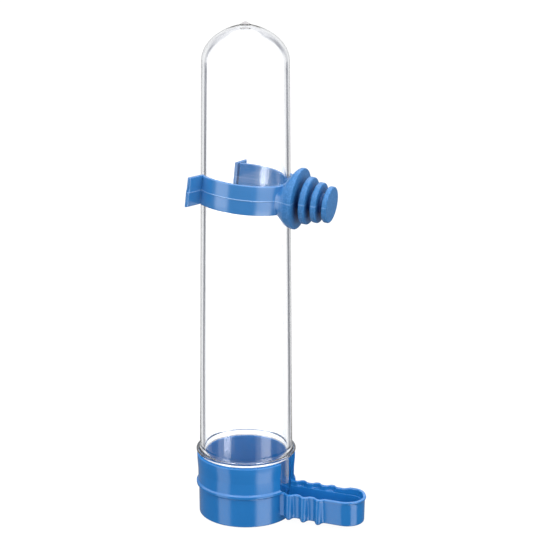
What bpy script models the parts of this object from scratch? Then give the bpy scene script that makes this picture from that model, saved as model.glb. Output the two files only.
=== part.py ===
"""Clear tube fount for cage birds and small livestock: a domed bottle that
stands in a cup with a drinking trough, and a spring clip with a barbed plug
that wedges between cage wires.

Frame: +Z up, origin on the flat underside of the cup, on the tube's axis.
+X points along the trough, and the clip's plug points nearly the same way.
The cup and the bottle are mirror images of themselves across the XZ plane.
Profiles below are in millimetres and are scaled to metres by MM.
"""
import math

import bmesh
import bpy
from mathutils import Matrix

MM = 0.001

# ---- driving dimensions, in millimetres -----------------------------------
TURN_STEPS = 64            # segments in a full turn of the round pieces

# cup
CUP_R_FOOT = 13.25         # outer radius at the table
CUP_R_LOW = 13.32          # outer radius just below the bead
CUP_R_HIGH = 13.55         # outer radius just above the bead
CUP_R_RIM = 13.84          # outer radius at the rim
CUP_H = 17.6               # rim height
CUP_FLOOR = 1.2            # floor thickness
CUP_BORE_R = 12.7          # socket that takes the bottle's skirt
CUP_WELL_R = 12.25         # well below the socket
BEAD_R = 14.02             # bead at the height of the trough's rim
EDGE = 0.35                # softened outer edges

# trough
TROUGH_RIM_Z = 9.0
TROUGH_BOTTOM_Z = 1.8
TROUGH_FLOOR_Z = 2.8
TROUGH_HALF_W = 5.2        # outside
TROUGH_WALL = 1.0
TROUGH_END_X = 30.6        # centre of the rounded end
TROUGH_SPREAD = 0.15       # the sides spread this much over their length
RIB_X = (15.25, 19.65, 24.05)
RIB_HALF_W = 1.25
RIB_DEPTH = 1.4
STEP_Z = 7.6               # above this the inside follows the ribs
RECESS_HALF_W = 1.35
RECESS_DEPTH = 1.2
SLOT_HALF_W = 5.1          # slot through the cup's upper wall

# bottle
SEAT_GAP = 0.3             # between the flange and the cup's rim
FLANGE_R = 13.97
FLANGE_H = 1.3
TUBE_R_LOW = 13.0          # outer radius above the flange
TUBE_DRAFT = 0.011         # loss of radius per millimetre of height
FILLET_H = 1.2
SKIRT_R = 12.4
MOUTH_Z = 7.0
DOME_Z = 128.5             # where the dome begins
DOME_H = 9.8
DOME_POWER = 1.2           # how the dome closes in towards its top
DOME_WALL = 1.7
NUB_R = 1.2                # moulding gate on the dome
NUB_H = 0.7
BORE = ((7.0, 11.8), (19.0, 11.75), (40.0, 11.65), (72.0, 11.2),
        (110.0, 10.6), (127.0, 10.3))   # height, inner radius

# clip
CLIP_Z = 93.8              # where its ring is centred on the bottle
CLIP_TILT = 5.8            # degrees, the plug end droops
CLIP_ROLL = 1.2            # degrees, the +Y side sits lower
CLIP_TURN = 1.8            # degrees, the plug is turned a little off the trough
RING_R = 13.65
RING_BORE_R = 12.48        # clears the bottle over the clip's whole travel
RING_H = 8.0
RING_END_MINUS = 129.0     # degrees from the plug to the ring's end at -Y
RING_END_PLUS = 121.0      # and at +Y
LIP_T = 1.1
LIP_END_MINUS_Y = (-10.0, -16.1)   # end of each lip in the ring's own plane
LIP_END_PLUS_Y = (-6.3, 16.6)
BOSS_R_RING = 6.5          # boss where it leaves the ring
BOSS_R_OUT = 8.4
CORE_R = 2.6
DISCS = ((17.4, 19.1, 6.45), (20.4, 22.0, 5.5), (23.45, 24.9, 4.95))  # from, to, radius
BOSS_FACE_X = 15.95        # flat face that cage wires bear on


def clear_scene():
    for obj in list(bpy.data.objects):
        bpy.data.objects.remove(obj, do_unlink=True)


def make_collection(name):
    coll = bpy.data.collections.new(name)
    bpy.context.scene.collection.children.link(coll)
    return coll


def material(name, colour, roughness, alpha=1.0, transmission=0.0):
    mat = bpy.data.materials.new(name)
    mat.use_nodes = True
    bsdf = mat.node_tree.nodes["Principled BSDF"]
    bsdf.inputs["Base Color"].default_value = (*colour, 1.0)
    bsdf.inputs["Roughness"].default_value = roughness
    bsdf.inputs["Metallic"].default_value = 0.0
    bsdf.inputs["Alpha"].default_value = alpha
    bsdf.inputs["Transmission Weight"].default_value = transmission
    mat.diffuse_color = (*colour, alpha)
    return mat


def turned(name, profile, steps, coll):
    """A solid of revolution about Z from (radius, height) points in mm."""
    mesh = bpy.data.meshes.new(name)
    verts = [(r * MM, 0.0, z * MM) for r, z in profile]
    mesh.from_pydata(verts, [(i, i + 1) for i in range(len(verts) - 1)], [])
    obj = bpy.data.objects.new(name, mesh)
    coll.objects.link(obj)
    screw = obj.modifiers.new("turn", "SCREW")
    screw.axis = "Z"
    screw.angle = 2.0 * math.pi
    screw.steps = steps
    screw.render_steps = steps
    screw.use_merge_vertices = True
    screw.merge_threshold = 0.000002
    return obj


def to_mesh(obj, coll):
    """The object's evaluated shape as a plain mesh object."""
    depsgraph = bpy.context.evaluated_depsgraph_get()
    mesh = bpy.data.meshes.new_from_object(obj.evaluated_get(depsgraph))
    bm = bmesh.new()
    bm.from_mesh(mesh)
    bmesh.ops.remove_doubles(bm, verts=bm.verts, dist=0.000001)
    bm.to_mesh(mesh)
    bm.free()
    name = obj.name
    matrix = obj.matrix_world.copy()
    data = obj.data
    bpy.data.objects.remove(obj, do_unlink=True)
    if isinstance(data, bpy.types.Curve):
        bpy.data.curves.remove(data)
    else:
        bpy.data.meshes.remove(data)
    mesh.name = name
    out = bpy.data.objects.new(name, mesh)
    out.matrix_world = matrix
    coll.objects.link(out)
    return out


def plate(name, outline, z0, z1, coll):
    """A flat outline, (x, y) points in mm, between two heights."""
    curve = bpy.data.curves.new(name, "CURVE")
    curve.dimensions = "2D"
    curve.fill_mode = "BOTH"
    curve.extrude = 0.5 * (z1 - z0) * MM
    spline = curve.splines.new("POLY")
    spline.points.add(len(outline) - 1)
    for point, (x, y) in zip(spline.points, outline):
        point.co = (x * MM, y * MM, 0.0, 1.0)
    spline.use_cyclic_u = True
    obj = bpy.data.objects.new(name, curve)
    obj.location = (0.0, 0.0, 0.5 * (z0 + z1) * MM)
    coll.objects.link(obj)
    bpy.context.view_layer.update()
    return to_mesh(obj, coll)


def cutter(obj):
    obj.hide_render = True
    obj.display_type = "WIRE"
    return obj


def boolean(obj, other, operation):
    mod = obj.modifiers.new(operation.lower(), "BOOLEAN")
    mod.operation = operation
    mod.solver = "EXACT"
    mod.object = cutter(other)
    return mod


def arc(cx, cy, r, a0, a1, n):
    """Points on an arc, angles in degrees, both ends included."""
    return [(cx + r * math.cos(math.radians(a0 + (a1 - a0) * i / n)),
             cy + r * math.sin(math.radians(a0 + (a1 - a0) * i / n)))
            for i in range(n + 1)]


def smooth(obj):
    obj.data.shade_smooth()
    obj.data.set_sharp_from_angle(angle=math.radians(35.0))


# ---- cup with its drinking trough -----------------------------------------
def spread(x):
    """The sides draw in towards the cup."""
    return -TROUGH_SPREAD * (TROUGH_END_X - x) / TROUGH_END_X


def ribbed_side(half_w, start_x, bump_half, bump_depth):
    """One long side of the trough at +Y, from the rounded end to the cup,
    with a half-round bump at each rib."""
    points = []
    for x in sorted(RIB_X, reverse=True):
        for i in range(9):
            t = math.pi * i / 8
            px = x + bump_half * math.cos(t)
            points.append((px, half_w + spread(px) + bump_depth * math.sin(t)))
    points.append((start_x, half_w + spread(start_x)))
    return points


def trough_outline(half_w, start_x, end_r, bump_half, bump_depth):
    side = ribbed_side(half_w, start_x, bump_half, bump_depth)
    end = arc(TROUGH_END_X, 0.0, end_r, -90.0, 90.0, 24)
    mirrored = [(x, -y) for x, y in reversed(side)]
    return mirrored + end + side


def plain_outline(half_w, start_x, end_r):
    end = arc(TROUGH_END_X, 0.0, end_r, -90.0, 90.0, 24)
    y = half_w + spread(start_x)
    return [(start_x, -y)] + end + [(start_x, y)]


def build_base(parts, cutters, mat):
    bead = TROUGH_RIM_Z
    profile = [(0.0, CUP_H), (CUP_R_RIM - EDGE, CUP_H), (CUP_R_RIM, CUP_H - EDGE),
               (CUP_R_RIM - 0.09, CUP_H - 1.8), (CUP_R_HIGH, 13.0),
               (CUP_R_HIGH - 0.02, bead + 0.7),
               (BEAD_R - 0.08, bead + 0.3), (BEAD_R, bead),
               (BEAD_R - 0.08, bead - 0.3), (CUP_R_LOW, bead - 0.75),
               (CUP_R_FOOT + 0.02, EDGE), (CUP_R_FOOT - EDGE, 0.0), (0.0, 0.0)]
    base = to_mesh(turned("trough_base", profile, TURN_STEPS, parts), parts)

    solid = plate("trough_solid",
                  trough_outline(TROUGH_HALF_W, 9.0, TROUGH_HALF_W,
                                RIB_HALF_W, RIB_DEPTH),
                  TROUGH_BOTTOM_Z, TROUGH_RIM_Z, cutters)
    boolean(base, solid, "UNION")

    well = turned("well_cutter",
                  [(0.0, 24.0), (CUP_BORE_R, 24.0), (CUP_BORE_R, 6.2),
                   (CUP_WELL_R, 5.6), (CUP_WELL_R - 0.1, CUP_FLOOR + 0.5),
                   (CUP_WELL_R - 0.6, CUP_FLOOR), (0.0, CUP_FLOOR)],
                  TURN_STEPS, cutters)
    boolean(base, well, "DIFFERENCE")

    inner_w = TROUGH_HALF_W - TROUGH_WALL
    channel = plate("channel_cutter", plain_outline(inner_w, 6.0, inner_w),
                    TROUGH_FLOOR_Z, 13.0, cutters)
    boolean(base, channel, "DIFFERENCE")

    recess = plate("recess_cutter",
                   trough_outline(inner_w - 0.02, 7.0, inner_w - 0.02,
                                  RECESS_HALF_W, RECESS_DEPTH),
                   STEP_Z, 12.5, cutters)
    boolean(base, recess, "DIFFERENCE")

    slot = plate("slot_cutter",
                 [(10.4, -SLOT_HALF_W), (14.4, -SLOT_HALF_W),
                  (14.4, SLOT_HALF_W), (10.4, SLOT_HALF_W)],
                 TROUGH_RIM_Z + 0.06, 22.0, cutters)
    boolean(base, slot, "DIFFERENCE")
    base.data.materials.append(mat)
    smooth(base)
    return base


# ---- bottle ----------------------------------------------------------------
def tube_r(z):
    return TUBE_R_LOW - TUBE_DRAFT * (z - (CUP_H + SEAT_GAP + FLANGE_H))


def dome_point(a, r0, z0, h):
    return r0 * math.cos(a) ** DOME_POWER, z0 + h * math.sin(a)


def build_tube(parts, mat):
    seat = CUP_H + SEAT_GAP
    top = seat + FLANGE_H
    r_dome = tube_r(DOME_Z)
    outer = []
    crown = DOME_Z + DOME_H
    outer.append((0.0, crown + NUB_H))
    outer.append((NUB_R - 0.25, crown + NUB_H))
    outer.append((NUB_R, crown + NUB_H - 0.25))
    n = 12
    for i in range(n, -1, -1):
        a = 0.5 * math.pi * i / n
        r, z = dome_point(a, r_dome, DOME_Z, DOME_H)
        if r > NUB_R + 0.3:
            outer.append((r, z))
    outer.insert(3, (NUB_R, crown - 0.12))
    # fillet from the tube's wall to the flange
    k = 5
    reach = FLANGE_R - 0.12 - tube_r(top + FILLET_H)
    for i in range(k + 1):
        t = 0.5 * math.pi * i / k
        outer.append((tube_r(top + FILLET_H) + reach * (1.0 - math.cos(t)),
                      top + FILLET_H * (1.0 - math.sin(t))))
    outer += [(FLANGE_R, top - 0.12), (FLANGE_R, seat + 0.15), (FLANGE_R - 0.15, seat),
              (SKIRT_R + 0.02, seat), (SKIRT_R, MOUTH_Z + 0.3),
              (SKIRT_R - 0.25, MOUTH_Z)]
    inner = [(BORE[0][1], MOUTH_Z)]
    inner += [(r, z) for z, r in BORE[1:]]
    r_in, z_in = BORE[-1][1], BORE[-1][0]
    h_in = crown - DOME_WALL - z_in
    for i in range(1, 9):
        a = 0.5 * math.pi * i / 8
        r, z = dome_point(a, r_in, z_in, h_in)
        inner.append((r if i < 8 else 0.0, z))
    tube = turned("fount_tube", outer + inner, TURN_STEPS, parts)
    tube.data.materials.append(mat)
    tube = to_mesh(tube, parts)
    smooth(tube)
    return tube


# ---- cage clip --------------------------------------------------------------
def lip(start, end, side):
    """A thin lip from the ring's end, rounded at its tip. side is +1 or -1,
    and the thickness lies on the lip's side towards the opening."""
    dx, dy = end[0] - start[0], end[1] - start[1]
    length = math.hypot(dx, dy)
    ux, uy = dx / length, dy / length
    nx, ny = (-uy, ux) if side > 0 else (uy, -ux)
    half = 0.5 * LIP_T
    cx, cy = end[0] - ux * half + nx * half, end[1] - uy * half + ny * half
    points = []
    for i in range(7):
        t = math.pi * i / 6
        points.append((cx - nx * half * math.cos(t) + ux * half * math.sin(t),
                       cy - ny * half * math.cos(t) + uy * half * math.sin(t)))
    # back along the lip to just past the ring's end
    points.append((start[0] + nx * LIP_T - ux * 0.1, start[1] + ny * LIP_T - uy * 0.1))
    return points


def ring_outline():
    """Open ring with a thin lip turned out at each end, anticlockwise."""
    outer = arc(0.0, 0.0, RING_R, -RING_END_MINUS, RING_END_PLUS, 46)
    inner = arc(0.0, 0.0, RING_BORE_R - 0.8,
                RING_END_PLUS + 1.0, -RING_END_MINUS - 1.0, 46)
    plus = lip(outer[-1], LIP_END_PLUS_Y, 1)
    minus = lip(outer[0], LIP_END_MINUS_Y, -1)
    return outer + plus + inner + list(reversed(minus))


def plug_profile():
    """Boss and discs about the plug's axis, listed from the tip inwards."""
    points = [(0.0, DISCS[-1][1])]
    for x0, x1, r in reversed(DISCS):
        points += [(r - 0.35, x1), (r, x1 - 0.35), (r, x0 + 0.4), (r - 0.4, x0),
                   (CORE_R, x0)]
        nearer = [d for d in DISCS if d[1] < x0]
        points.append((CORE_R, nearer[-1][1] if nearer else BOSS_FACE_X))
    points += [(BOSS_R_OUT - 0.25, BOSS_FACE_X), (BOSS_R_OUT, BOSS_FACE_X - 0.25),
               (BOSS_R_OUT - 0.05, BOSS_FACE_X - 0.75), (BOSS_R_RING + 0.9, 13.9),
               (BOSS_R_RING + 0.15, 12.6), (BOSS_R_RING, 10.5), (0.0, 10.5)]
    return points


def build_clip(parts, cutters, mat):
    clip = plate("cage_clip", ring_outline(), -0.5 * RING_H, 0.5 * RING_H, parts)
    # the plate's centre height is zero, so its mesh already sits on its origin
    plug = to_mesh(turned("plug_solid", plug_profile(), 48, cutters), cutters)
    plug.data.transform(Matrix.Rotation(math.radians(90.0), 4, "Y"))
    # above and below the ring, the boss stops at the ring's outer face
    trim = turned("boss_trim_cutter",
                  [(0.0, 14.0), (RING_R - 0.45, 14.0), (RING_R - 0.45, -14.0), (0.0, -14.0)],
                  96, cutters)
    boolean(plug, trim, "DIFFERENCE")
    boolean(clip, plug, "UNION")
    # the ring sits at a slant on the bottle, and its bore runs along the bottle
    bore = turned("ring_bore_cutter",
                  [(0.0, 14.0), (RING_BORE_R, 14.0), (RING_BORE_R, -14.0), (0.0, -14.0)],
                  96, cutters)
    boolean(clip, bore, "DIFFERENCE")
    clip.data.materials.append(mat)
    smooth(clip)
    # the ring's centre is on the bottle's axis, which the clip slides along
    for obj in (clip, plug, bore, trim):
        obj.location = (0.0, 0.0, CLIP_Z * MM)
    for obj in (clip, plug, trim):
        obj.rotation_euler = (math.radians(-CLIP_ROLL), math.radians(CLIP_TILT),
                              math.radians(CLIP_TURN))
    return clip


def main():
    clear_scene()
    parts = make_collection("tube_fount")
    cutters = make_collection("tube_fount_cutters")
    blue = material("blue_moulded_plastic", (0.035, 0.17, 0.56), 0.3)
    blue_clip = material("blue_clip_plastic", (0.04, 0.18, 0.58), 0.35)
    clear = material("clear_polystyrene", (0.93, 0.95, 0.96), 0.05,
                     alpha=0.35, transmission=0.9)
    build_base(parts, cutters, blue)
    build_tube(parts, clear)
    build_clip(parts, cutters, blue_clip)


main()
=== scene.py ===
"""Looks of a clear tube fount for cage birds and small livestock: a domed
bottle in a blue cup with a drinking trough, and a blue spring clip.

All sizes below are millimetres in the part's own frame: origin on the flat
underside of the cup, on the bottle's axis, +Z up and +X along the trough.
"""

import math

import bmesh
import bpy
from mathutils import Euler, Matrix, Vector


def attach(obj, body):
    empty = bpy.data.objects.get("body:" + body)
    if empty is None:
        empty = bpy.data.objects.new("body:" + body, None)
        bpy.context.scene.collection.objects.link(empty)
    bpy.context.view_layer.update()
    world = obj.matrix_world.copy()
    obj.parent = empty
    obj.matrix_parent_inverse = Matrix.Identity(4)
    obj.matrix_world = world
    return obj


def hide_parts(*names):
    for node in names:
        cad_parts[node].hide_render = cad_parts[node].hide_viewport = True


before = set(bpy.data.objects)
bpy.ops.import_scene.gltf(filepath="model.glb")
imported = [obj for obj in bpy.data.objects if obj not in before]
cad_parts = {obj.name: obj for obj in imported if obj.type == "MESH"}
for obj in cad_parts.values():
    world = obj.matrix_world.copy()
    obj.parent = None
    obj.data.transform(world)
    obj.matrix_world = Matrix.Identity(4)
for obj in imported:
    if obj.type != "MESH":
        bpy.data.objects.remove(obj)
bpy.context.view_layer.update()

MM = 0.001


scene = bpy.context.scene

# ---- camera ----------------------------------------------------------------
CAMERA_AT = Vector((0.19131, -0.43998, 0.20701))
CAMERA_RIGHT = Vector((0.92329, 0.38409, 0.00267)).normalized()
CAMERA_BACK = Vector((0.36852, -0.88776, 0.27581)).normalized()

cam_data = bpy.data.cameras.new("camera")
cam_data.sensor_width = 36.0
cam_data.lens = 119.0
cam_data.clip_start = 0.01
cam_data.clip_end = 50.0
cam = bpy.data.objects.new("camera", cam_data)
scene.collection.objects.link(cam)
up = CAMERA_BACK.cross(CAMERA_RIGHT).normalized()
right = up.cross(CAMERA_BACK).normalized()
cam.matrix_world = Matrix((
    (right.x, up.x, CAMERA_BACK.x, CAMERA_AT.x),
    (right.y, up.y, CAMERA_BACK.y, CAMERA_AT.y),
    (right.z, up.z, CAMERA_BACK.z, CAMERA_AT.z),
    (0.0, 0.0, 0.0, 1.0)))
scene.camera = cam

# ---- dimensions ------------------------------------------------------------
CUP_H = 17.6
CUP_FLOOR = 1.2
CUP_BORE_R = 12.7
CUP_WELL_R = 12.25

TROUGH_RIM_Z = 9.0
TROUGH_BOTTOM_Z = 1.8
TROUGH_FLOOR_Z = 2.8
TROUGH_HALF_W = 5.2
TROUGH_WALL = 1.0
TROUGH_END_X = 30.6
TROUGH_SPREAD = 0.15
RIB_X = (15.25, 19.65, 24.05)
STEP_Z = 7.6
SLOT_HALF_W = 5.1

SEAT = 17.9                # underside of the bottle's flange
FLANGE_TOP = 19.2
FLANGE_R = 13.97
TUBE_R_LOW = 13.0
TUBE_DRAFT = 0.011
SKIRT_R = 12.4
MOUTH_Z = 7.0
DOME_Z = 128.5
DOME_H = 9.8
DOME_POWER = 1.2
DOME_WALL = 1.7
BORE = ((7.0, 11.8), (19.0, 11.75), (40.0, 11.65), (72.0, 11.2),
        (110.0, 10.6), (127.0, 10.3))

CLIP_AT = Vector((0.0, 0.0, 93.8))
CLIP_TURN = Euler((math.radians(-1.2), math.radians(5.8), math.radians(1.8)))
RING_R = 13.65
RING_BORE_R = 12.5
RING_H = 8.0
RING_END_MINUS = 129.0
RING_END_PLUS = 121.0
LIP_T = 1.1
LIP_END_MINUS_Y = (-10.0, -16.04)
LIP_END_PLUS_Y = (-6.3, 16.55)
CORE_R = 2.6
DISCS = ((17.4, 19.1, 6.45), (20.4, 22.0, 5.5), (23.45, 24.9, 4.95))
BOSS_FACE_X = 15.95


# ---- mesh helpers ----------------------------------------------------------
def link(name, mesh):
    obj = bpy.data.objects.new(name, mesh)
    scene.collection.objects.link(obj)
    return obj


def tidy(mesh):
    bm = bmesh.new()
    bm.from_mesh(mesh)
    bmesh.ops.remove_doubles(bm, verts=bm.verts, dist=0.0000005)
    bmesh.ops.dissolve_degenerate(bm, edges=bm.edges, dist=0.0000005)
    bmesh.ops.recalc_face_normals(bm, faces=bm.faces)
    bm.to_mesh(mesh)
    bm.free()
    mesh.update()


def shade(mesh, angle=32.0):
    mesh.shade_smooth()
    mesh.set_sharp_from_angle(angle=math.radians(angle))


def loft(name, rings, cap_first=True, cap_last=True):
    """A closed skin through rings of (x, y, z) points, all the same count."""
    n = len(rings[0])
    verts = [(x * MM, y * MM, z * MM) for ring in rings for x, y, z in ring]
    faces = []
    for k in range(len(rings) - 1):
        a, b = k * n, (k + 1) * n
        for i in range(n):
            j = (i + 1) % n
            faces.append((a + i, a + j, b + j, b + i))
    if cap_first:
        faces.append(tuple(range(n - 1, -1, -1)))
    if cap_last:
        last = (len(rings) - 1) * n
        faces.append(tuple(range(last, last + n)))
    mesh = bpy.data.meshes.new(name)
    mesh.from_pydata(verts, [], faces)
    tidy(mesh)
    return mesh


def lathe(name, profile, angles=None, steps=192, ridge=None):
    """A solid of revolution about Z from (radius, height) points in mm.
    ridge(angle) gives a small extra radius at an angle."""
    if angles is None:
        angles = [2.0 * math.pi * i / steps for i in range(steps)]
    n = len(angles)
    verts, index = [], []
    for r, z in profile:
        if r <= 1e-6:
            index.append([len(verts)] * n)
            verts.append((0.0, 0.0, z * MM))
            continue
        row = []
        for a in angles:
            rr = r + (ridge(a, r, z) if ridge else 0.0)
            row.append(len(verts))
            verts.append((rr * math.cos(a) * MM, rr * math.sin(a) * MM, z * MM))
        index.append(row)
    faces = []
    for k in range(len(profile) - 1):
        for i in range(n):
            j = (i + 1) % n
            quad = [index[k][i], index[k][j], index[k + 1][j], index[k + 1][i]]
            face = []
            for v in quad:
                if v not in face:
                    face.append(v)
            if len(face) > 2:
                faces.append(tuple(face))
    mesh = bpy.data.meshes.new(name)
    mesh.from_pydata(verts, [], faces)
    tidy(mesh)
    return mesh


def rounded(corners, n=6):
    """A polyline with its inner corners rounded. corners holds (x, y, radius),
    and the two ends keep their places."""
    out = [tuple(corners[0][:2])]
    for k in range(1, len(corners) - 1):
        p = Vector(corners[k][:2])
        a = Vector(corners[k - 1][:2]) - p
        b = Vector(corners[k + 1][:2]) - p
        r = corners[k][2]
        if r <= 0.0:
            out.append((p.x, p.y))
            continue
        half = 0.5 * a.angle(b)
        cut = min(r / math.tan(half), 0.48 * a.length, 0.48 * b.length)
        r = cut * math.tan(half)
        ua, ub = a.normalized(), b.normalized()
        centre = p + (ua + ub).normalized() * (r / math.sin(half))
        s, e = p + ua * cut - centre, p + ub * cut - centre
        turn = math.atan2(s.x * e.y - s.y * e.x, s.dot(e))
        for i in range(n + 1):
            t = turn * i / n
            out.append((centre.x + s.x * math.cos(t) - s.y * math.sin(t),
                        centre.y + s.x * math.sin(t) + s.y * math.cos(t)))
    out.append(tuple(corners[-1][:2]))
    return out


def boolean(target, other, operation):
    """The exact Boolean of two mesh objects, applied. other is removed."""
    mod = target.modifiers.new("b", "BOOLEAN")
    mod.operation = operation
    mod.solver = "EXACT"
    mod.object = other
    bpy.context.view_layer.update()
    depsgraph = bpy.context.evaluated_depsgraph_get()
    mesh = bpy.data.meshes.new_from_object(target.evaluated_get(depsgraph))
    target.modifiers.clear()
    old = target.data
    target.data = mesh
    bpy.data.meshes.remove(old)
    data = other.data
    bpy.data.objects.remove(other, do_unlink=True)
    bpy.data.meshes.remove(data)
    tidy(mesh)


# ---- cup and trough --------------------------------------------------------
def spread(x):
    return -TROUGH_SPREAD * (TROUGH_END_X - x) / TROUGH_END_X


def ribbed_ring(half_w, end_r, end_x, start_x, bump_half, bump_depth, z, lift=None):
    """One ring of the trough's outline, anticlockwise from -Y at the cup."""
    side = []
    n_gap, n_bump = 5, 28
    previous = end_x
    for x in sorted(RIB_X, reverse=True):
        reach = 1.5 * bump_half
        for i in range(1, n_gap):
            px = previous + (x + reach - previous) * i / n_gap
            side.append((px, half_w + spread(px)))
        for i in range(n_bump + 1):
            px = x + reach * math.cos(math.pi * i / n_bump)
            out = math.exp(-abs((px - x) / (0.9 * bump_half)) ** 3.0)
            side.append((px, half_w + spread(px) + bump_depth * out))
        previous = x - reach
    for i in range(1, n_gap + 1):
        px = previous + (start_x - previous) * i / n_gap
        side.append((px, half_w + spread(px)))
    n_end = 56
    end = []
    for i in range(n_end + 1):
        t = -0.5 * math.pi + math.pi * i / n_end
        end.append((end_x + end_r * math.cos(t), half_w / end_r * end_r * math.sin(t)))
    ring = [(x, -y) for x, y in reversed(side)] + end + side
    return [(x, y, z + (lift(x, y) if lift else 0.0)) for x, y in ring]


def ease(t):
    t = min(max(t, 0.0), 1.0)
    return t * t * (3.0 - 2.0 * t)


def end_lift(x, y):
    """The rim stands a little proud round the end, most at its +Y side."""
    even = 0.10 * ease((x - 29.6) / 3.6)
    return even + 0.50 * ease((x - 28.0) / 1.6) * ease((y - 1.2) / 3.2)


def lobe(x, y):
    """The ribs' feet hang a little below the trough's own floor."""
    out = abs(y) - (TROUGH_HALF_W - 0.45)
    near = max(1.0 - abs(x - rib) / 1.3 for rib in RIB_X)
    return -0.38 * ease(out / 0.9) * ease(near) if out > 0.0 and near > 0.0 else 0.0


def build_base():
    bead = TROUGH_RIM_Z
    outer = rounded([
        (0.0, CUP_H, 0), (13.84, CUP_H, 0.34), (13.78, 15.8, 1.5),
        (13.56, 13.0, 4.0), (13.53, bead + 0.72, 0.35), (14.02, bead + 0.34, 0.16),
        (14.02, bead - 0.30, 0.2), (13.34, bead - 0.78, 0.3),
        (13.27, 0.0, 0.42), (0.0, 0.0, 0)], n=7)
    base = link("trough_base_visual", lathe("trough_base_visual", outer, steps=224))

    # outside of the trough: rounded foot, slight draft, a soft lip at the rim
    rings = []
    levels = [  # height, how far the sides and the end draw in, rib depth, rib half width
        (1.80, 1.00, 1.15, 0.90, 1.00),
        (1.81, 0.72, 0.87, 1.02, 1.06),
        (1.88, 0.50, 0.64, 1.18, 1.12),
        (2.02, 0.36, 0.50, 1.34, 1.17),
        (2.22, 0.30, 0.44, 1.46, 1.20),
        (2.50, 0.27, 0.42, 1.54, 1.22),
        (4.50, 0.22, 0.39, 1.48, 1.22),
        (6.50, 0.17, 0.36, 1.32, 1.20),
        (8.05, 0.13, 0.33, 1.16, 1.18),
        (8.25, 0.115, 0.30, 1.13, 1.18),
        (8.38, 0.08, 0.20, 1.10, 1.18),
        (8.48, 0.035, 0.08, 1.08, 1.19),
        (8.60, 0.00, 0.00, 1.06, 1.20),
        (8.72, 0.01, 0.005, 1.05, 1.20),
        (8.84, 0.05, 0.04, 1.04, 1.20),
        (8.93, 0.12, 0.11, 1.02, 1.19),
        (8.985, 0.22, 0.22, 1.00, 1.18),
        (9.00, 0.34, 0.34, 0.97, 1.16),
        (9.00, 1.30, 1.30, 0.75, 1.10)]
    for z, side_in, end_in, depth, half in levels:
        w = TROUGH_HALF_W - side_in
        rings.append(ribbed_ring(w, TROUGH_HALF_W - side_in,
                                 TROUGH_END_X - (end_in - side_in),
                                 9.0, half, depth, z,
                                 end_lift if z > 8.3 else (lobe if z < 2.6 else None)))
    boolean(base, link("t_out", loft("t_out", rings)), "UNION")

    well = lathe("well", rounded([
        (0.0, 24.0, 0), (12.95, 24.0, 0), (12.95, CUP_H, 0.2), (CUP_BORE_R, CUP_H - 0.3, 0.3),
        (CUP_BORE_R, 6.25, 0.15), (CUP_WELL_R, 5.75, 0.15),
        (CUP_WELL_R - 0.1, CUP_FLOOR, 0.7), (0.0, CUP_FLOOR, 0)], n=6), steps=224)
    boolean(base, link("well", well), "DIFFERENCE")

    # inside of the trough: a fine step near the rim, with hollows behind the ribs
    rings = []
    inner = TROUGH_HALF_W - TROUGH_WALL
    levels = [  # height, how far the walls draw in, rib hollow depth, half width
        (2.80, 1.05, 0.0, 1.1),
        (2.82, 0.75, 0.0, 1.1),
        (2.92, 0.50, 0.0, 1.1),
        (3.10, 0.33, 0.0, 1.1),
        (3.40, 0.25, 0.0, 1.1),
        (5.50, 0.18, 0.0, 1.1),
        (7.42, 0.12, 0.0, 1.1),
        (7.54, 0.09, 0.0, 1.1),
        (7.60, 0.02, 0.0, 1.1),
        (7.62, -0.02, 0.85, 1.22),
        (7.72, -0.04, 0.94, 1.26),
        (8.60, -0.05, 0.98, 1.27),
        (8.80, -0.07, 0.98, 1.27),
        (8.92, -0.13, 0.98, 1.27),
        (9.00, -0.24, 0.98, 1.27),
        (9.12, -0.36, 0.98, 1.27),
        (13.0, -0.40, 0.98, 1.27)]
    for z, draw, depth, half in levels:
        w = inner - draw
        rings.append(ribbed_ring(w, w, TROUGH_END_X, 6.5, half, depth, z,
                                 end_lift if z > 8.3 else None))
    boolean(base, link("t_in", loft("t_in", rings)), "DIFFERENCE")

    # slot through the cup's upper wall
    half, z0 = SLOT_HALF_W, TROUGH_RIM_Z + 0.06
    ring = [(10.4, -half), (14.6, -half), (14.6, half), (10.4, half)]
    slot = loft("slot", [[(x, y, z0) for x, y in ring], [(x, y, 22.0) for x, y in ring]])
    boolean(base, link("slot", slot), "DIFFERENCE")
    shade(base.data)
    return base


# ---- bottle ----------------------------------------------------------------
def tube_r(z):
    return TUBE_R_LOW - TUBE_DRAFT * (z - FLANGE_TOP)


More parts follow.
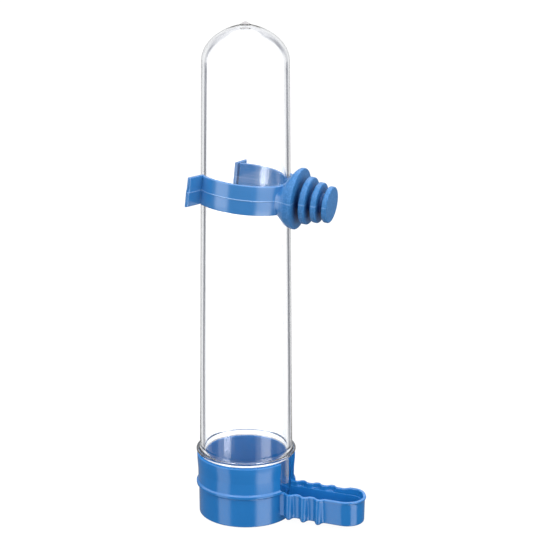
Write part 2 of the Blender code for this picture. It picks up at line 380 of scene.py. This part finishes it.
def build_tube():
    crown = DOME_Z + DOME_H
    outer = [(0.0, crown + 0.7)]
    for i in range(1, 25):      # the gate's stub, a low soft pimple
        r = 2.0 * i / 24
        fall = 0.5 + 0.5 * math.cos(math.pi * min(r / 1.75, 1.0))
        bowl = DOME_H * (1.0 - (1.0 - (r / tube_r(DOME_Z)) ** (2.0 / DOME_POWER)) ** 0.5)
        outer.append((r, crown - bowl + 0.7 * fall ** 0.8))
    n = 64
    for i in range(n, -1, -1):
        a = 0.5 * math.pi * i / n
        r = tube_r(DOME_Z) * math.cos(a) ** DOME_POWER
        if r > 2.1:
            outer.append((r, DOME_Z + DOME_H * math.sin(a)))
    for z in (110.0, 90.0, 70.0, 50.0, 30.0):
        outer.append((tube_r(z), z))
    reach = FLANGE_R - 0.55 - tube_r(FLANGE_TOP + 1.2)
    for i in range(13):
        t = 0.5 * math.pi * i / 12
        outer.append((tube_r(FLANGE_TOP + 1.2) + reach * (1.0 - math.cos(t)),
                      FLANGE_TOP + 1.2 * (1.0 - math.sin(t))))
    outer += rounded([(13.45, FLANGE_TOP - 0.005, 0), (FLANGE_R, FLANGE_TOP - 0.01, 0.3),
                      (FLANGE_R, SEAT + 0.78, 0.2), (13.35, SEAT, 0.12), (SKIRT_R + 0.05, SEAT, 0.1),
                      (SKIRT_R, MOUTH_Z, 0.28), (12.05, MOUTH_Z, 0)], n=6)
    inner = rounded([(12.05, MOUTH_Z, 0), (BORE[0][1], MOUTH_Z, 0.22),
                     (BORE[1][1], BORE[1][0], 0)], n=5)[1:]
    # a smooth bore between its measured radii
    for (z0, r0), (z1, r1) in zip(BORE[1:], BORE[2:]):
        for i in range(1, 5):
            t = i / 4.0
            inner.append((r0 + (r1 - r0) * t, z0 + (z1 - z0) * t))
    # inside of the dome: an even wall, closed by a smooth curve at the crown
    inner.append((BORE[-1][1], DOME_Z))
    side_wall = tube_r(DOME_Z) - BORE[-1][1]
    r0 = tube_r(DOME_Z)
    last = None
    for i in range(1, 31):
        a = math.radians(56.0) * i / 30
        c, sn = math.cos(a), math.sin(a)
        along = Vector((-r0 * DOME_POWER * c ** (DOME_POWER - 1.0) * sn, DOME_H * c)).normalized()
        wall = side_wall + (DOME_WALL - side_wall) * i / 30
        last = Vector((r0 * c ** DOME_POWER, DOME_Z + DOME_H * sn)) - Vector((along.y, -along.x)) * wall
        inner.append((last.x, last.y))
    top = Vector((0.0, crown - DOME_WALL))
    reach = 0.36 * (top - last).length
    h0, h1 = last + along * reach, top + Vector((1.0, 0.0)) * reach
    for i in range(1, 25):
        t = i / 24.0
        p = (last * (1 - t) ** 3 + h0 * 3 * t * (1 - t) ** 2 + h1 * 3 * t * t * (1 - t) + top * t ** 3)
        inner.append((p.x if i < 24 else 0.0, p.y))
    obj = link("fount_tube_visual", lathe("fount_tube_visual", outer + inner, steps=224))
    shade(obj.data)
    return obj


# ---- clip ------------------------------------------------------------------
def ridge(h, high=0.10, half=0.17):
    """The fine raised line that the mould leaves at mid height."""
    t = abs(h) / half
    return high * (1.0 - t * t) ** 2 if t < 1.0 else 0.0


def section(n_round=5, r=0.24):
    """The band's cross section as (side, depth, height): side 1 is the outer
    face, -1 the inner. depth is how far the surface draws in there."""
    half = 0.5 * RING_H
    heights = [0.0, 0.05, 0.1, 0.16, 0.24, 1.2, 2.4, half - r]
    out = []
    for h in reversed(heights[1:]):
        out.append((1, 0.0, -h))
    for h in heights:
        out.append((1, 0.0, h))
    for i in range(1, n_round + 1):
        t = 0.5 * math.pi * i / n_round
        out.append((1, r * (1.0 - math.cos(t)), half - r + r * math.sin(t)))
    for i in range(n_round, -1, -1):
        t = 0.5 * math.pi * i / n_round
        out.append((-1, r * (1.0 - math.cos(t)), half - r + r * math.sin(t)))
    for h in (2.4, 1.2, 0.0, -1.2, -2.4):
        out.append((-1, 0.0, h))
    for i in range(0, n_round + 1):
        t = 0.5 * math.pi * i / n_round
        out.append((-1, r * (1.0 - math.cos(t)), -half + r - r * math.sin(t)))
    for i in range(n_round, 0, -1):
        t = 0.5 * math.pi * i / n_round
        out.append((1, r * (1.0 - math.cos(t)), -half + r - r * math.sin(t)))
    return out


CLIP_MATRIX = Matrix.Translation(CLIP_AT) @ CLIP_TURN.to_matrix().to_4x4()


def bore_reach(direction, h):
    """How far from the clip's own axis the bottle's clearance lies, at a
    height h, along a direction in the clip's own plane."""
    p = CLIP_MATRIX @ Vector((0.0, 0.0, h))
    d = CLIP_TURN.to_matrix() @ Vector((direction[0], direction[1], 0.0))
    a = d.x * d.x + d.y * d.y
    b = 2.0 * (p.x * d.x + p.y * d.y)
    c = p.x * p.x + p.y * p.y - RING_BORE_R ** 2
    return (-b + math.sqrt(b * b - 4.0 * a * c)) / (2.0 * a)


def build_ring():
    profile = section()
    rings = []
    a0, a1 = math.radians(-RING_END_MINUS), math.radians(RING_END_PLUS)
    n = 150
    for i in range(n + 1):
        a = a0 + (a1 - a0) * i / n
        d = (math.cos(a), math.sin(a))
        ring = []
        for side, draw, h in profile:
            if side > 0:
                r = RING_R - draw - 0.09 * abs(h) / 4.0 + ridge(h)
            else:
                r = bore_reach(d, h) + draw
            rise = 1.0
            if h > 0.3:
                rise += 0.06 * ease((29.0 - abs(math.degrees(a))) / 17.0) * ease((h - 0.3) / 3.0)
            ring.append((r * d[0], r * d[1], h * rise))
        rings.append(ring)
    return link("ring", loft("ring", rings))


def build_lip(name, end, side):
    """A thin lip from the ring's end, rounded at its tip."""
    a = math.radians(RING_END_PLUS if side > 0 else -RING_END_MINUS)
    start = Vector((RING_R * math.cos(a), RING_R * math.sin(a)))
    end = Vector(end)
    along = (end - start).normalized()
    across = Vector((-along.y, along.x)) if side > 0 else Vector((along.y, -along.x))
    length = (end - start).length
    profile = section()
    rings = []
    half = 0.5 * LIP_T
    # stations run from inside the ring's end to the rounded tip
    stations = [(-0.95, 0.0), (-0.4, 0.0), (0.0, 0.0), (0.35, 0.0)]
    stations += [(length * t, 0.0) for t in (0.3, 0.6, 0.8)]
    for i in range(8):
        t = 0.5 * math.pi * i / 7 * 0.94
        stations.append((length - half + half * math.sin(t), half * (1.0 - math.cos(t))))
    for s, squeeze in stations:
        ring = []
        near_tip = ease((s - length + 1.6) / 1.4)
        for face, draw, h in profile:
            # the mould's halves were a little out of line at the longer lip
            step = 0.0
            if side < 0:
                step = near_tip * (0.10 * max(0.0, 1.0 - abs(h) / 0.2)
                                   - 0.24 * ease((h + 0.1) / 0.3))
            if face > 0:
                off = squeeze + draw + 0.09 * abs(h) / 4.0 - (ridge(h) if squeeze < 0.3 else 0.0)
            else:
                off = LIP_T - squeeze - draw
            p = start + along * (s + step) + across * off
            ring.append((p.x, p.y, h))
        rings.append(ring)
    return link(name, loft(name, rings))


def build_plug():
    """Boss, core and three discs about the plug's own axis, along +Z here."""
    corners = [(0.0, DISCS[-1][1], 0)]
    for x0, x1, r in reversed(DISCS):
        corners += [(r, x1, 0.38), (r, x0, 0.42), (CORE_R, x0, 0.3)]
        nearer = [d for d in DISCS if d[1] < x0]
        corners.append((CORE_R, nearer[-1][1] if nearer else BOSS_FACE_X, 0.3))
    corners += [(8.38, BOSS_FACE_X, 0.35), (8.37, 15.2, 0.3), (8.32, 14.9, 0)]
    profile = rounded(corners, n=6)
    wide = ((10.5, 7.5), (11.3, 7.55), (12.6, 7.7), (13.9, 7.95), (14.9, 8.32), (15.2, 8.37))
    above = ((10.5, 4.0), (11.8, 4.05), (12.4, 4.8), (12.95, 5.9), (13.9, 7.1), (14.5, 7.9),
             (15.2, 8.37))
    below = ((10.5, 4.6), (11.8, 5.4), (12.9, 6.6), (14.0, 7.7), (14.6, 8.15), (15.2, 8.37))

    def read(table, x):
        for (x0, v0), (x1, v1) in zip(table, table[1:]):
            if x <= x1:
                return v0 + (v1 - v0) * (x - x0) / (x1 - x0)
        return table[-1][1]

    for k in range(1, 19):
        x = 14.9 + (10.5 - 14.9) * k / 18.0
        profile.append((read(wide, x), x))
    profile.append((0.0, 10.5))
    angles = []
    fine = [math.radians(v) for v in (-3.2, -2.2, -1.5, -1.0, -0.6, -0.3, 0.0,
                                      0.3, 0.6, 1.0, 1.5, 2.2, 3.2)]
    coarse = [math.radians(v) for v in range(6, 175, 3)]
    angles = fine + coarse + [math.pi + v for v in fine] + [math.pi + v for v in coarse]

    def line(a, r, z):
        # the mould's parting line runs along both sides, away from the grooves
        if r < CORE_R + 1.0:
            return 0.0
        extra = ridge(r * math.sin(a), 0.055, 0.15)
        if z < 15.2:
            high = read(above if math.sin(a) > 0.0 else below, z)
            power = 2.6
            oval = (abs(math.cos(a) / r) ** power + abs(math.sin(a) / high) ** power) ** (-1.0 / power)
            extra += (oval - r) * min(1.0, (15.2 - z) / 1.6 + 0.0 if z > 13.6 else 1.0)
        return extra

    angles = [a + 0.5 * math.pi for a in angles]
    mesh = lathe("plug", profile, angles=angles,
                 ridge=lambda a, r, z: line(a - 0.5 * math.pi, r, z))
    mesh.transform(Matrix.Rotation(math.radians(90.0), 4, "Y"))
    return link("plug", mesh)


def build_clip():
    clip = build_ring()
    plug = build_plug()
    trim = lathe("trim", [(0.0, 14.0), (RING_R - 0.45, 14.0), (RING_R - 0.45, -14.0),
                          (0.0, -14.0)], steps=256)
    boolean(plug, link("trim", trim), "DIFFERENCE")
    boolean(clip, plug, "UNION")
    boolean(clip, build_lip("lip_minus", LIP_END_MINUS_Y, -1), "UNION")
    boolean(clip, build_lip("lip_plus", LIP_END_PLUS_Y, 1), "UNION")
    clip.name = "cage_clip_visual"
    clip.data.name = "cage_clip_visual"
    shade(clip.data, 30.0)
    matrix = CLIP_MATRIX.copy()
    matrix.translation = CLIP_AT * MM
    clip.data.transform(matrix)
    return clip


# ---- materials -------------------------------------------------------------
class Tree:
    """Short names for building a material's nodes."""

    def __init__(self, name):
        self.mat = bpy.data.materials.new(name)
        self.mat.use_nodes = True
        self.nt = self.mat.node_tree
        self.bsdf = self.nt.nodes["Principled BSDF"]
        self.coord = self.nt.nodes.new("ShaderNodeTexCoord").outputs["Object"]

    def node(self, kind, **values):
        node = self.nt.nodes.new(kind)
        for key, value in values.items():
            setattr(node, key, value)
        return node

    def join(self, a, b):
        self.nt.links.new(a, b)

    def noise(self, scale, detail=2.0, rough=0.5, stretch=None):
        node = self.node("ShaderNodeTexNoise")
        node.inputs["Scale"].default_value = scale
        node.inputs["Detail"].default_value = detail
        node.inputs["Roughness"].default_value = rough
        if stretch:
            mapping = self.node("ShaderNodeMapping")
            mapping.inputs["Scale"].default_value = stretch
            self.join(self.coord, mapping.inputs["Vector"])
            self.join(mapping.outputs["Vector"], node.inputs["Vector"])
        else:
            self.join(self.coord, node.inputs["Vector"])
        return node.outputs["Fac"]

    def spread(self, value, a0, a1, b0, b1):
        node = self.node("ShaderNodeMapRange")
        for key, v in (("From Min", a0), ("From Max", a1), ("To Min", b0), ("To Max", b1)):
            node.inputs[key].default_value = v
        self.join(value, node.inputs["Value"])
        return node.outputs["Result"]

    def maths(self, operation, a, b):
        node = self.node("ShaderNodeMath", operation=operation)
        for socket, v in zip(node.inputs, (a, b)):
            if isinstance(v, (int, float)):
                socket.default_value = v
            else:
                self.join(v, socket)
        return node.outputs[0]

    def mix(self, fac, a, b):
        node = self.node("ShaderNodeMix", data_type="RGBA")
        self.join(fac, node.inputs["Factor"])
        for socket, v in ((node.inputs[6], a), (node.inputs[7], b)):
            if isinstance(v, tuple):
                socket.default_value = (*v, 1.0)
            else:
                self.join(v, socket)
        return node.outputs[2]

    def own_axis(self, matrix, axis):
        """The coordinate along one axis of a piece's own frame."""
        row = [matrix[k][axis] for k in range(3)]
        origin = matrix.translation
        node = self.node("ShaderNodeVectorMath", operation="DOT_PRODUCT")
        node.inputs[1].default_value = row
        self.join(self.coord, node.inputs[0])
        return self.maths("SUBTRACT", node.outputs["Value"],
                          sum(row[k] * origin[k] for k in range(3)))

    def bump(self, height, strength, distance, below=None):
        node = self.node("ShaderNodeBump")
        node.inputs["Strength"].default_value = strength
        node.inputs["Distance"].default_value = distance
        self.join(height, node.inputs["Height"])
        if below is not None:
            self.join(below, node.inputs["Normal"])
        return node.outputs["Normal"]


def blue_plastic(name, deep, light, own=None, speckle_from=None, gloss=0.5):
    """Glossy moulded plastic: faint flow marks, an uneven polish and a very
    fine skin. own is the matrix of the piece's own frame. There, the skin past
    speckle_from along X is matte and speckled. A pale line of painted highlight
    lies on the raised seam where the mould's halves met at mid height, and painted
    shade darkens the grooves between the discs, less towards the top."""
    t = Tree(name)
    flow = t.noise(70.0, 3.0, 0.55, (1.0, 1.0, 0.35))
    fine = t.noise(900.0, 4.0, 0.6)
    colour = t.mix(t.spread(flow, 0.35, 0.65, 0.0, 1.0), deep, light)
    rough = t.maths("ADD", t.spread(flow, 0.3, 0.7, 0.0, 0.03),
                    t.spread(fine, 0.35, 0.65, 0.12, 0.17))
    skin = t.noise(2600.0, 3.0, 0.6)
    wave = t.noise(160.0, 1.0, 0.4)
    normal = t.bump(wave, 0.25, 0.00006)
    normal = t.bump(skin, 0.08, 0.00002, normal)
    if speckle_from is not None:
        along, across, height = (t.own_axis(own, k) for k in range(3))
        away = t.maths("POWER", t.maths("ADD", t.maths("MULTIPLY", across, across),
                                        t.maths("MULTIPLY", height, height)), 0.5)
        # how deep a point lies below the line over the discs' edges
        depth = t.maths("SUBTRACT", t.spread(along, 0.0160, 0.0249, 0.0070, 0.0047), away)
        # painted shade: the grooves between the plug's discs are darkened in the colour, deepest low
        # down and fading towards the top
        painted_groove_shade = t.spread(depth, 0.0002, 0.0026, 0.0, 0.95)
        painted_groove_shade = t.maths("MULTIPLY", painted_groove_shade, t.spread(height, -0.0006, 0.0036, 1.0, 0.30))
        painted_groove_shade = t.maths("MULTIPLY", painted_groove_shade, t.spread(along, 0.01580, 0.01592, 0.0, 1.0))
        painted_groove_shade = t.maths("MULTIPLY", painted_groove_shade, t.spread(along, 0.02462, 0.02478, 1.0, 0.0))
        mask = t.spread(along, speckle_from - 0.0016, speckle_from + 0.0006, 0.0, 1.0)
        # painted highlight: a pale line over the mould's raised parting line at mid height, stopping
        # before the plug's end
        painted_seam_highlight = t.spread(t.maths("ABSOLUTE", height, 0.0), 0.00008, 0.00024, 0.42, 0.0)
        painted_seam_highlight = t.maths("MULTIPLY", painted_seam_highlight, t.spread(along, 0.02462, 0.02478, 1.0, 0.0))
        grains = t.noise(1900.0, 4.0, 0.7)
        dots = t.spread(grains, 0.49, 0.57, 0.0, 1.0)
        rough = t.maths("ADD", rough, t.maths("MULTIPLY", mask, 0.2))
        pale = tuple(min(1.0, c * 1.12 + 0.02) for c in light)
        dark = tuple(0.86 * c for c in deep)
        colour = t.mix(mask, colour, dark)
        colour = t.mix(t.maths("MULTIPLY", mask, t.maths("MULTIPLY", dots, 0.6)),
                       colour, pale)
        # painted highlight on the seam line, then painted shade in the grooves between the discs
        colour = t.mix(painted_seam_highlight, colour, (0.20, 0.38, 0.66))
        colour = t.mix(painted_groove_shade, colour, (0.005, 0.032, 0.150))
        normal = t.bump(t.maths("MULTIPLY", mask, grains), 0.9, 0.00009, normal)
    t.join(colour, t.bsdf.inputs["Base Color"])
    t.join(rough, t.bsdf.inputs["Roughness"])
    t.join(normal, t.bsdf.inputs["Normal"])
    t.bsdf.inputs["IOR"].default_value = 1.5
    if own is None:
        t.bsdf.inputs["Specular IOR Level"].default_value = gloss
    else:                     # the matte plug shines less than the ring
        t.join(t.maths("SUBTRACT", gloss, t.maths("MULTIPLY", mask, gloss - 0.3)),
               t.bsdf.inputs["Specular IOR Level"])
    return t.mat


def clear_plastic(name):
    """Clear moulded plastic with faint haze, flow lines and a slight tint."""
    t = Tree(name)
    haze = t.noise(60.0, 3.0, 0.6, (1.0, 1.0, 0.15))
    fine = t.noise(700.0, 3.0, 0.6)
    rough = t.maths("ADD", t.spread(haze, 0.4, 0.7, 0.0, 0.03),
                    t.spread(fine, 0.4, 0.7, 0.004, 0.02))
    colour = t.mix(t.spread(haze, 0.35, 0.7, 0.0, 1.0), (0.99, 0.993, 0.998), (0.972, 0.982, 0.992))
    # the gate's stub was twisted off, and its scar is frosted
    split = t.node("ShaderNodeSeparateXYZ")
    t.join(t.coord, split.inputs[0])
    scar = t.spread(split.outputs[2], (DOME_Z + DOME_H + 0.02) * MM,
                    (DOME_Z + DOME_H + 0.16) * MM, 0.0, 1.0)
    rough = t.maths("ADD", rough, t.maths("MULTIPLY", scar, 0.55))
    t.join(t.maths("SUBTRACT", 1.0, t.maths("MULTIPLY", scar, 0.6)),
           t.bsdf.inputs["Transmission Weight"])
    colour = t.mix(scar, colour, (0.52, 0.50, 0.51))
    wave = t.noise(90.0, 1.0, 0.4, (1.0, 1.0, 0.25))
    t.join(t.bump(wave, 0.12, 0.00005), t.bsdf.inputs["Normal"])
    t.join(colour, t.bsdf.inputs["Base Color"])
    t.join(rough, t.bsdf.inputs["Roughness"])
    t.bsdf.inputs["IOR"].default_value = 1.5
    volume = t.node("ShaderNodeVolumeAbsorption")
    volume.inputs["Color"].default_value = (0.20, 0.27, 0.38, 1.0)
    volume.inputs["Density"].default_value = 24.0
    out = [n for n in t.nt.nodes if n.type == "OUTPUT_MATERIAL"][0]
    t.join(volume.outputs[0], out.inputs["Volume"])
    # light reaches what stands inside the bottle
    path = t.node("ShaderNodeLightPath")
    through = t.node("ShaderNodeBsdfTransparent")
    through.inputs["Color"].default_value = (0.99, 0.99, 0.995, 1.0)
    both = t.node("ShaderNodeMixShader")
    t.join(t.maths("MAXIMUM", path.outputs["Is Shadow Ray"], path.outputs["Is Diffuse Ray"]),
           both.inputs[0])
    t.join(t.bsdf.outputs[0], both.inputs[1])
    t.join(through.outputs[0], both.inputs[2])
    t.join(both.outputs[0], out.inputs["Surface"])
    return t.mat


clip_frame = CLIP_MATRIX.copy()
clip_frame.translation = CLIP_AT * MM
blue = blue_plastic("blue_moulded_plastic", (0.010, 0.140, 0.405), (0.014, 0.155, 0.435))
blue_clip = blue_plastic("blue_clip_plastic", (0.028, 0.170, 0.435), (0.038, 0.186, 0.465),
                         clip_frame, 0.0135, 0.85)
clear = clear_plastic("clear_moulded_plastic")

# ---- the three pieces ------------------------------------------------------
base = build_base()
base.data.materials.clear()
base.data.materials.append(blue)
tube = build_tube()
tube.data.materials.append(clear)
clip = build_clip()
clip.data.materials.clear()
clip.data.materials.append(blue_clip)

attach(base, "base")
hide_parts("trough_base")
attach(tube, "tube")
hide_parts("fount_tube")
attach(clip, "clip")
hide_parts("cage_clip")

# ---- floor -----------------------------------------------------------------
floor_mesh = bpy.data.meshes.new("floor")
floor_mesh.from_pydata([(-4, -4, -0.0001), (4, -4, -0.0001), (4, 4, -0.0001), (-4, 4, -0.0001)],
                       [], [(0, 1, 2, 3)])
floor = link("floor", floor_mesh)
floor_mat = bpy.data.materials.new("floor")
floor_mat.use_nodes = True
nt = floor_mat.node_tree
p = nt.nodes["Principled BSDF"]
p.inputs["Base Color"].default_value = (0.06, 0.06, 0.06, 1.0)
p.inputs["Roughness"].default_value = 1.0
p.inputs["Specular IOR Level"].default_value = 0.0
p.inputs["Emission Color"].default_value = (1.0, 1.0, 1.0, 1.0)
p.inputs["Emission Strength"].default_value = 0.97
path = nt.nodes.new("ShaderNodeLightPath")
glow = nt.nodes.new("ShaderNodeMix")
glow.data_type = "FLOAT"
nt.links.new(path.outputs["Is Camera Ray"], glow.inputs[0])
glow.inputs[2].default_value = 0.5
glow.inputs[3].default_value = 0.97
nt.links.new(glow.outputs[0], p.inputs["Emission Strength"])
floor_mesh.materials.append(floor_mat)
floor.visible_glossy = False
floor.visible_transmission = False

# ---- light: a white studio with two tall softboxes -------------------------
VIEW_AZ = math.atan2(CAMERA_BACK.y, CAMERA_BACK.x)      # towards the camera

world = bpy.data.worlds.new("studio")
scene.world = world
world.use_nodes = True
wt = world.node_tree
for node in list(wt.nodes):
    wt.nodes.remove(node)


def wnode(kind, **values):
    node = wt.nodes.new(kind)
    for key, value in values.items():
        setattr(node, key, value)
    return node


def wmath(operation, a, b=None):
    node = wnode("ShaderNodeMath", operation=operation)
    for socket, v in zip(node.inputs, (a, b)):
        if v is None:
            continue
        if isinstance(v, (int, float)):
            socket.default_value = v
        else:
            wt.links.new(v, socket)
    return node.outputs[0]


def step_up(value, a, b):
    node = wnode("ShaderNodeMapRange", interpolation_type="SMOOTHSTEP")
    node.inputs["From Min"].default_value = a
    node.inputs["From Max"].default_value = b
    wt.links.new(value, node.inputs["Value"])
    return node.outputs["Result"]


coord = wnode("ShaderNodeTexCoord").outputs["Generated"]
split = wnode("ShaderNodeSeparateXYZ")
wt.links.new(coord, split.inputs[0])
azimuth = wmath("ARCTAN2", split.outputs[1], split.outputs[0])


def band(centre_deg, half_deg, soft_deg):
    """1 inside a band of azimuth about a direction counted from the camera's,
    positive to the right as the camera sees it, and 0 outside."""
    centre = VIEW_AZ + math.radians(centre_deg)
    offset = wmath("SUBTRACT", azimuth, centre)
    wrapped = wmath("ARCCOSINE", wmath("COSINE", offset))
    return wmath("SUBTRACT", 1.0, step_up(wrapped, math.radians(half_deg - soft_deg),
                                          math.radians(half_deg + soft_deg)))


def add(*values):
    total = values[0]
    for v in values[1:]:
        total = wmath("ADD", total, v)
    return total


def ramp(value, stops):
    """A smooth function of value through (position, level) stops."""
    total = stops[0][1]
    for (a, low), (b, high) in zip(stops, stops[1:]):
        total = wmath("ADD", total, wmath("MULTIPLY", step_up(value, a, b), high - low))
    return total


rise = split.outputs[2]                     # sine of the elevation
# what polished surfaces mirror: a softbox on each side, brighter overhead
left_box = wmath("MULTIPLY", band(-56.0, 16.0, 4.5),
                 ramp(rise, ((-0.42, 2.0), (-0.33, 1.9), (-0.295, 1.2), (-0.26, 3.1),
                             (-0.17, 2.2), (0.35, 2.2), (0.6, 1.5))))
right_box = wmath("MULTIPLY", band(46.0, 20.0, 6.0),
                  ramp(rise, ((-0.44, 3.5), (-0.40, 3.0), (-0.36, 1.75), (-0.30, 1.5),
                              (-0.12, 2.2), (0.35, 2.2), (0.6, 1.5))))
mirrored = add(left_box, right_box,
               wmath("MULTIPLY", band(180.0, 50.0, 25.0), 0.10),
               ramp(rise, ((-0.5, 0.18), (0.0, 0.32), (0.35, 0.7), (0.65, 2.9), (0.95, 3.2))))
# what is seen through the clear plastic: white behind, dark flags at the sides
pure = ramp(rise, ((0.02, 1.5), (0.38, 0.66), (0.75, 0.95)))
# what the walls of the bottle mirror inside themselves: strips of dark between
# the lights, a strip every 35 degrees, and in front the two softboxes
turn = wmath("MULTIPLY", wmath("SUBTRACT", azimuth, VIEW_AZ + math.radians(180.0 + 42.0)),
             math.pi / math.radians(35.0))
strips = wmath("MULTIPLY", step_up(wmath("ABSOLUTE", wmath("COSINE", turn)), 0.55, 0.93),
               wmath("SUBTRACT", 1.0, band(180.0, 13.0, 4.0)))
level = ramp(rise, ((-0.44, 0.25), (-0.34, 0.88), (-0.20, 0.88), (-0.08, 0.30)))
behind = wmath("SUBTRACT", ramp(rise, ((0.02, 1.12), (0.38, 0.66), (0.75, 0.95))),
               wmath("MULTIPLY", strips, level))
front = add(wmath("MULTIPLY", band(-51.0, 9.5, 3.0), 4.0),
            wmath("MULTIPLY", band(55.0, 14.0, 3.0), 4.2),
            ramp(rise, ((-0.3, 0.90), (0.2, 0.85), (0.6, 1.0))))
towards = band(0.0, 92.0, 14.0)
inside = add(wmath("MULTIPLY", behind, wmath("SUBTRACT", 1.0, towards)),
             wmath("MULTIPLY", front, towards))
path = wnode("ShaderNodeLightPath")
bounced = wmath("MINIMUM", path.outputs["Glossy Depth"], 1.0)
seen = add(wmath("MULTIPLY", pure, wmath("SUBTRACT", 1.0, bounced)),
           wmath("MULTIPLY", inside, bounced))
seen = wmath("MAXIMUM", seen, 0.2)
# what lights the matt side of things
soft = add(ramp(rise, ((-0.3, 0.44), (0.1, 0.90), (0.7, 1.75))),
           wmath("MULTIPLY", band(0.0, 80.0, 30.0), 0.42),
           wmath("MULTIPLY", band(60.0, 45.0, 30.0), 0.2))


def choose(flag, other, own):
    node = wnode("ShaderNodeMix", data_type="FLOAT")
    wt.links.new(flag, node.inputs[0])
    for socket, v in ((node.inputs[2], other), (node.inputs[3], own)):
        if isinstance(v, (int, float)):
            socket.default_value = v
        else:
            wt.links.new(v, socket)
    return node.outputs[0]


final = choose(path.outputs["Is Glossy Ray"], soft, mirrored)
final = choose(path.outputs["Is Transmission Ray"], final, seen)
final = choose(path.outputs["Is Camera Ray"], final, 1.0)
background = wnode("ShaderNodeBackground")
wt.links.new(final, background.inputs["Strength"])
# the dark edges seen through the bottle are a cool grey
tint = wnode("ShaderNodeMix", data_type="RGBA")
wt.links.new(wmath("MINIMUM", seen, 1.0), tint.inputs["Factor"])
tint.inputs[6].default_value = (0.80, 0.84, 1.0, 1.0)
tint.inputs[7].default_value = (1.0, 1.0, 1.0, 1.0)
shade_of = wnode("ShaderNodeMix", data_type="RGBA")
wt.links.new(path.outputs["Is Transmission Ray"], shade_of.inputs["Factor"])
shade_of.inputs[6].default_value = (1.0, 1.0, 1.0, 1.0)
wt.links.new(tint.outputs[2], shade_of.inputs[7])
wt.links.new(shade_of.outputs[2], background.inputs["Color"])
out = wnode("ShaderNodeOutputWorld")
wt.links.new(background.outputs[0], out.inputs["Surface"])

scene.view_settings.view_transform = "Standard"
scene.view_settings.look = "None"
